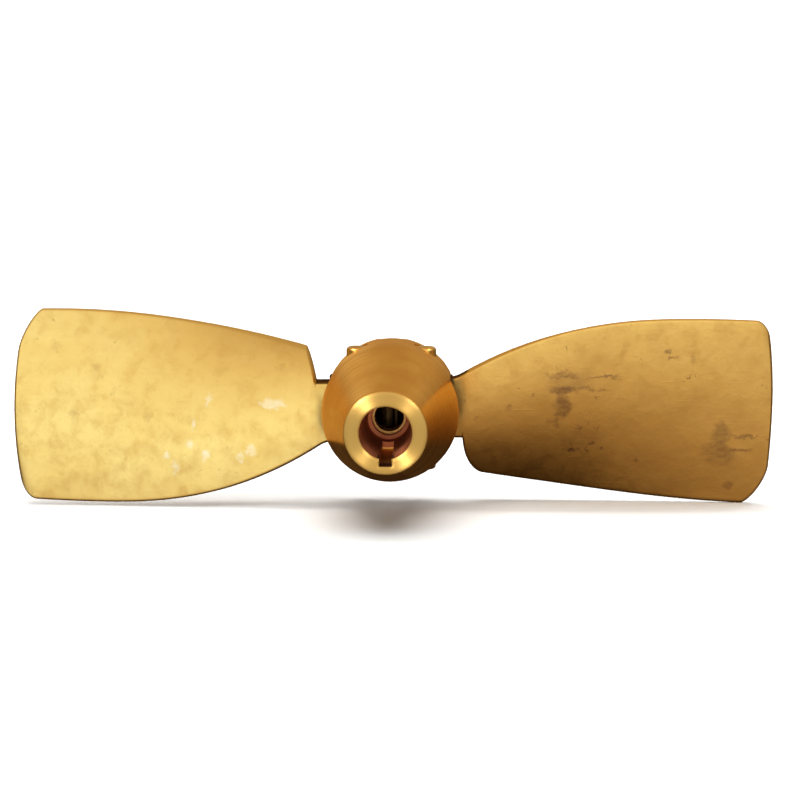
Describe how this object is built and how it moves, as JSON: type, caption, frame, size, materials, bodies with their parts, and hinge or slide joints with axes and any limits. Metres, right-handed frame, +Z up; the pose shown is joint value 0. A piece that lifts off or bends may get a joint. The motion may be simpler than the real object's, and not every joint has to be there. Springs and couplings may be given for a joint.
{
  "type": "boat propeller",
  "caption": "Right-handed two-blade folding boat propeller in bronze, with geared blade roots and a keyed tapered bore for the shaft.",
  "frame": {"origin": "centre of the hub's forward face, on the shaft axis, where the large end of the taper opens", "axes": "+Y aft along the shaft, +Z up along the two pivot pins, +X out along the right-hand blade when the blades are open"},
  "size_m": [0.381, 0.1013, 0.098],
  "materials": {
    "bronze_turned": "turned and satin-polished bronze with fine lathe marks",
    "bronze_cast": "hand-ground cast bronze, mottled, with small pits and scratches",
    "pin_bronze": "drawn bronze bar, faced ends",
    "nut_bronze": "machined bronze, slightly dull",
    "bearing_polymer": "off-white bearing polymer",
    "stainless": "plain stainless steel",
    "rubber": "black nitrile rubber"
  },
  "bodies": {
    "hub_body": {"hub": "bronze_turned", "pivot_pin_right": "pin_bronze", "pivot_pin_left": "pin_bronze", "pin_lock_screw_right": "stainless", "pin_lock_screw_left": "stainless", "shaft_nut": "nut_bronze", "tab_washer": "stainless", "stop_buffer_right": "rubber", "stop_buffer_left": "rubber"},
    "right_blade": {"blade_right": "bronze_cast", "bush_right_upper": "bearing_polymer", "bush_right_lower": "bearing_polymer"},
    "left_blade": {"blade_left": "bronze_cast", "bush_left_upper": "bearing_polymer", "bush_left_lower": "bearing_polymer"}
  },
  "joints": [
    {"name": "blade_right_fold", "type": "hinge", "parent": "hub_body", "child": "right_blade", "pos_m": [0.017, 0.082, 0], "axis": [0, 0, 1], "range_deg": [0, 90]},
    {"name": "blade_left_fold", "type": "hinge", "parent": "hub_body", "child": "left_blade", "pos_m": [-0.017, 0.082, 0], "axis": [0, 0, 1], "range_deg": [-90, 0]}
  ],
  "couplings": [
    {"joint": "blade_left_fold", "follows": "blade_right_fold", "ratio": -1}
  ]
}
